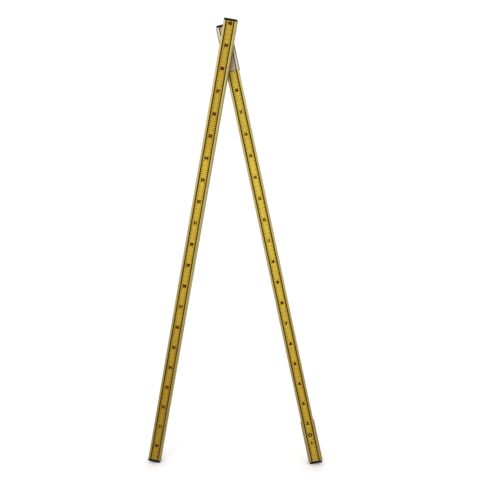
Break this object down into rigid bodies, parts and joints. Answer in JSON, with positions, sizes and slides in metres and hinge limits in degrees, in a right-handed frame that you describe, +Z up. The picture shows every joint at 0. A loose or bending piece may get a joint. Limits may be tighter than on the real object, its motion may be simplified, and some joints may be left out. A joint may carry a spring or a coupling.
{
  "type": "two-section levelling rod",
  "caption": "Metric levelling rod of two flat aluminium sections with yellow scales, joined near the top by a swivelling slide shoe and standing open as an inverted V.",
  "frame": {"origin": "middle of the base section's foot, which is the zero of the scale", "axes": "+Z up, +X to the right as the scales are read, +Y from the scales to the back; the base leans 12.15 degrees to the left and the front section 10.55 degrees to the right"},
  "size_m": [0.8469, 0.096, 2.0759],
  "materials": {
    "anodised": "champagne anodised, long extrusion lines",
    "sleeve_grey": "dark anodised, satin",
    "scale_yellow": "printed satin strip",
    "cap_black": "moulded, fine grain",
    "screw_steel": "zinc plated",
    "bright_alloy": "machined",
    "bush_bronze": "turned",
    "soft_rubber": "matte",
    "pad_white": "waxy",
    "disc_grey": "fibre disc"
  },
  "bodies": {
    "base": {"base_section": "anodised", "base_scale": "scale_yellow", "base_top_cap": "cap_black", "base_foot_cap": "cap_black", "upper_sleeve": "sleeve_grey", "lower_sleeve": "sleeve_grey", "sleeve_rivets": "bright_alloy", "base_cap_screws": "screw_steel", "pivot_bush": "bush_bronze", "latch_bush": "cap_black", "latch_nut": "screw_steel", "latch_o_ring": "soft_rubber"},
    "latch": {"latch_bolt": "bush_bronze", "thumb_knob": "cap_black", "thumb_screw": "screw_steel"},
    "swivel": {"slide_shoe": "bright_alloy", "glide_pads": "pad_white", "swivel_stud": "screw_steel", "friction_disc": "disc_grey", "thrust_washer": "screw_steel", "disc_spring": "screw_steel"},
    "knob": {"lock_knob": "cap_black", "knob_insert": "bush_bronze"},
    "front": {"front_section": "anodised", "front_scale": "scale_yellow", "front_top_cap": "cap_black", "front_foot_cap": "cap_black", "front_cap_screws": "screw_steel", "upper_bumper": "soft_rubber", "lower_bumper": "soft_rubber", "catch_block": "screw_steel", "catch_screws": "screw_steel"}
  },
  "joints": [
    {"name": "swivel_turn", "type": "hinge", "parent": "base", "child": "swivel", "pos_m": [-0.422, 0, 1.96009], "axis": [0, 1, 0], "range_deg": [-22.7, 67.3]},
    {"name": "front_slide", "type": "slide", "parent": "swivel", "child": "front", "axis": [0.1831, 0, 0.9831], "range_m": [-0.01121, 1.89879]},
    {"name": "knob_turn", "type": "hinge", "parent": "swivel", "child": "knob", "pos_m": [-0.422, 0, 1.96009], "axis": [0, -1, 0], "range_deg": [0, 360]},
    {"name": "latch_push", "type": "slide", "parent": "base", "child": "latch", "axis": [0, -1, 0], "range_m": [0, 0.0195]}
  ]
}
